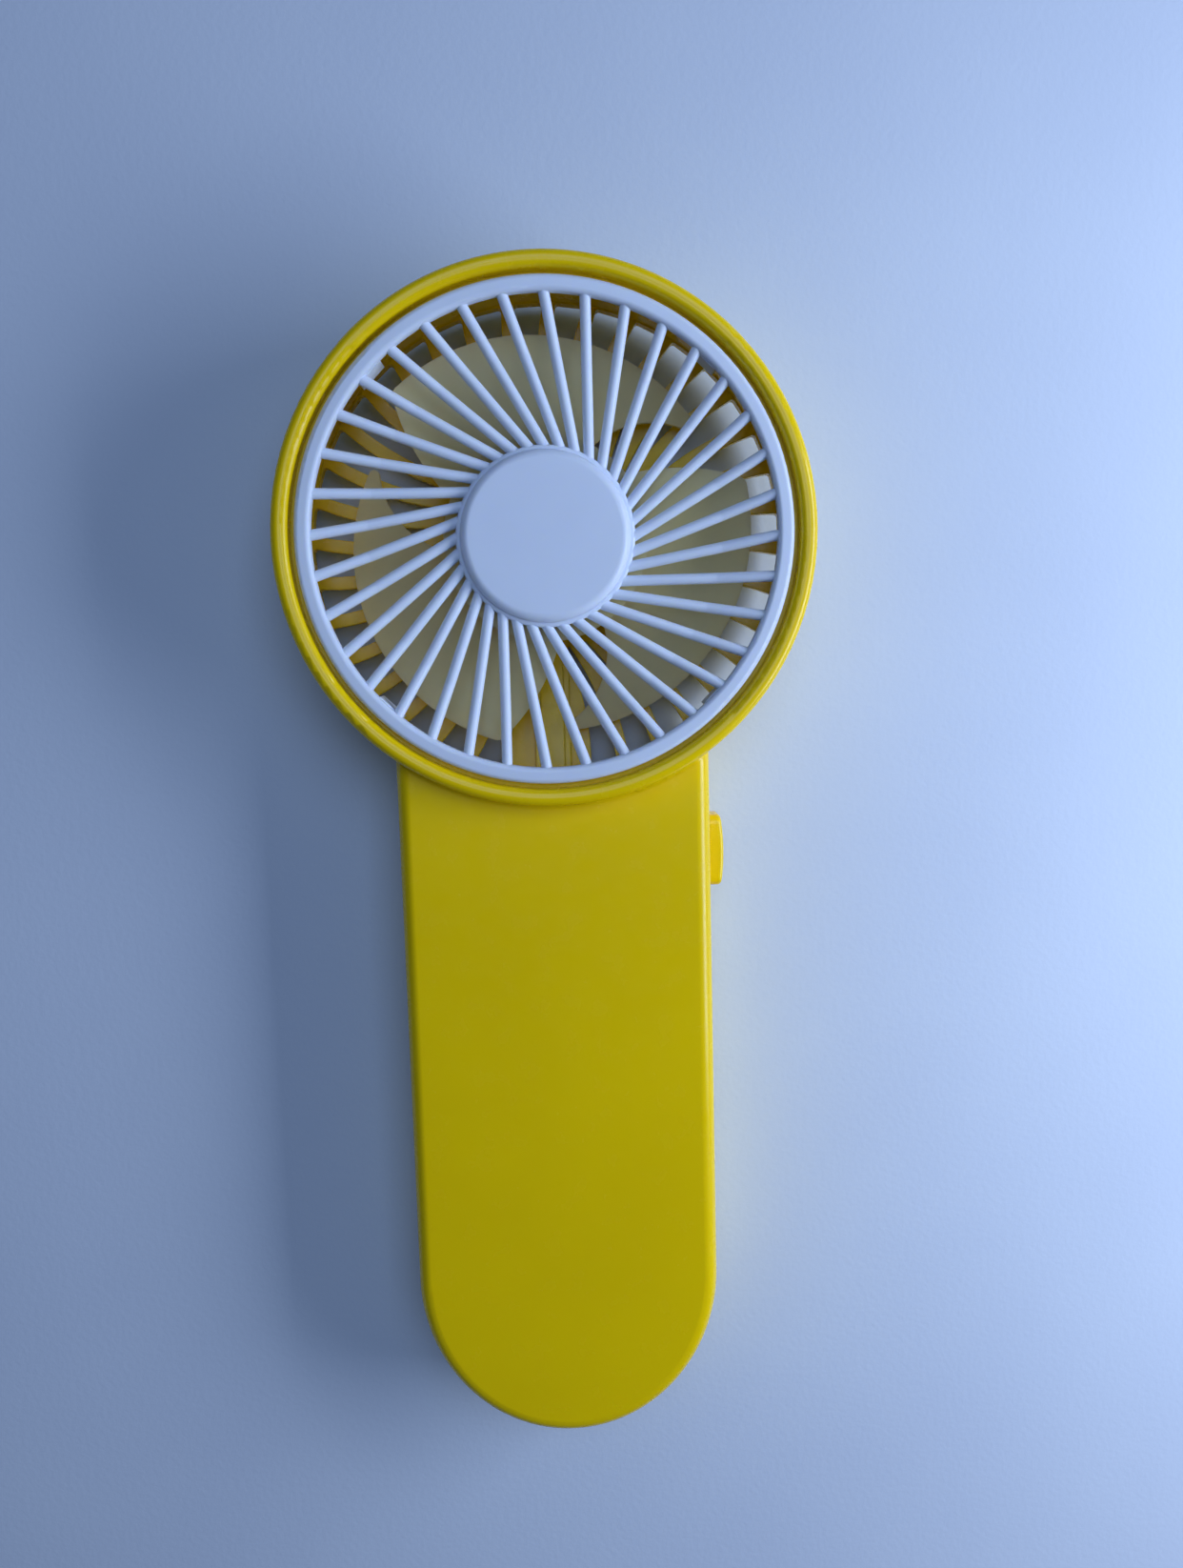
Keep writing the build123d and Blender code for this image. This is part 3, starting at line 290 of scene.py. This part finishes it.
MATERIALS = {
    "yellow_plastic": yellow_plastic(),
    "white_plastic": white_plastic(),
    "milky_plastic": milky_plastic(),
    "black_plastic": black_plastic(),
    "steel": metal("steel", (0.62, 0.62, 0.60), 0.30, grain=(1, 0.08, 1)),
    "bronze": metal("bronze", (0.62, 0.40, 0.20), 0.45, depth=0.01),
    "copper": metal("copper", (0.72, 0.32, 0.14), 0.32, grain=(1, 0.3, 1)),
    "ferrite": ferrite(),
    "board_green": circuit_board(),
    "wire_red": insulation("wire_red", (0.45, 0.02, 0.015)),
    "wire_black": insulation("wire_black", (0.015, 0.015, 0.015)),
    "cell_wrap": laminate_pouch(),
    "foam": foam(),
    "clear_plastic": clear_plastic(),
}


def dress(piece, slot):
    """Gives a piece the material of its slot."""
    piece.data.materials.clear()
    piece.data.materials.append(MATERIALS[slot].material)


for part in frame["record"]["subparts"]:
    dress(nodes[part["node"]], part["material_slot"])


# ---------------------------------------------------------------- table
def table_material():
    """Pale matte top that shows only from in front, so that the fan's back can be seen too."""
    shader = Shader("table_top", (0.66, 0.72, 0.84), 0.85)
    shader.set(Specular_IOR_Level=0.2)
    mottle = shader.spread(shader.noise(60, detail=3), 0, 1)
    shader.colour(shader.blend(mottle, (0.64, 0.70, 0.825), (0.68, 0.74, 0.855)))
    shader.bump(shader.noise(1.2, detail=3), 0.05)
    front = shader.node("ShaderNodeVectorTransform", Vector=(0, -1, 0))
    front.vector_type = "NORMAL"
    front.convert_from = "WORLD"
    front.convert_to = "CAMERA"
    sight = shader.tree.nodes["Texture Coordinate"].outputs["Camera"]
    behind = shader.number("GREATER_THAN", shader.measure("DOT_PRODUCT", front.outputs[0], sight), 0.0)
    shader.cover(shader.node("ShaderNodeBsdfTransparent").outputs[0], behind)
    return shader.material


TABLE_GAP = 0.02 * MM


def make_table(reach):
    """Square table top, just clear of the fan's back."""
    mesh = bpy.data.meshes.new("table")
    corners = [(-reach, 0, -reach), (reach, 0, -reach), (reach, 0, reach), (-reach, 0, reach)]
    mesh.from_pydata(corners, [], [(0, 1, 2, 3)])
    mesh.materials.append(table_material())
    table = bpy.data.objects.new("table", mesh)
    table.location.y = cad_box[1].y + TABLE_GAP
    bpy.context.scene.collection.objects.link(table)


TABLE_REACH = 3.0
make_table(TABLE_REACH)


# ---------------------------------------------------------------- light
def panel(name, place, aim, size, power, colour):
    """Soft rectangular light panel at a place, aimed at a point."""
    lamp = bpy.data.lights.new(name, "AREA")
    lamp.shape = "RECTANGLE"
    lamp.size, lamp.size_y = size
    lamp.energy = power
    lamp.color = colour
    holder = bpy.data.objects.new(name, lamp)
    holder.location = place
    holder.rotation_euler = (Vector(aim) - Vector(place)).to_track_quat("-Z", "Y").to_euler()
    bpy.context.scene.collection.objects.link(holder)


centre = (cad_box[0] + cad_box[1]) / 2
panel("window", (0.30, -0.17, 0.06), centre, (0.12, 0.32), 1.15, (0.66, 0.78, 1.0))
panel("sky", (0.12, -0.98, 0.40), centre, (0.7, 0.7), 3.8, (0.46, 0.64, 1.0))
panel("back_window", (-0.6, 0.7, 0.35), centre, (0.5, 0.8), 5.2, (0.93, 0.96, 1.0))
panel("back_fill", (0.5, 0.9, 0.1), centre, (0.8, 0.8), 2.0, (0.78, 0.87, 1.0))


def studio_world(seen, light, strength):
    """Plain surroundings: one colour where the camera looks past the fan, another for the light they give."""
    world = bpy.data.worlds.new("studio")
    world.use_nodes = True
    tree = world.node_tree
    backdrop = tree.nodes["Background"]
    backdrop.inputs["Color"].default_value = (*seen, 1)
    glow = tree.nodes.new("ShaderNodeBackground")
    glow.inputs["Color"].default_value = (*light, 1)
    glow.inputs["Strength"].default_value = strength
    choose = tree.nodes.new("ShaderNodeMixShader")
    tree.links.new(tree.nodes.new("ShaderNodeLightPath").outputs["Is Camera Ray"], choose.inputs[0])
    tree.links.new(glow.outputs[0], choose.inputs[1])
    tree.links.new(backdrop.outputs[0], choose.inputs[2])
    tree.links.new(choose.outputs[0], tree.nodes["World Output"].inputs["Surface"])
    return world


bpy.context.scene.world = studio_world((0.66, 0.71, 0.80), (0.48, 0.65, 1.0), 0.06)

# ---------------------------------------------------------------- camera
CAMERA_PLACE = (3.3 * MM, -216.2 * MM, 83.5 * MM)
CAMERA_TILT = 83.515
CAMERA_ROLL = 1.554
CAMERA_YAW = -1.126
CAMERA_LENS = 26.44

camera = bpy.data.objects.new("camera", bpy.data.cameras.new("camera"))
camera.location = CAMERA_PLACE
camera.rotation_euler = (radians(CAMERA_TILT), radians(CAMERA_ROLL), radians(CAMERA_YAW))
camera.data.lens = CAMERA_LENS
camera.data.clip_start = 1 * MM
bpy.context.scene.collection.objects.link(camera)
bpy.context.scene.camera = camera
bpy.context.scene.view_settings.view_transform = "Standard"
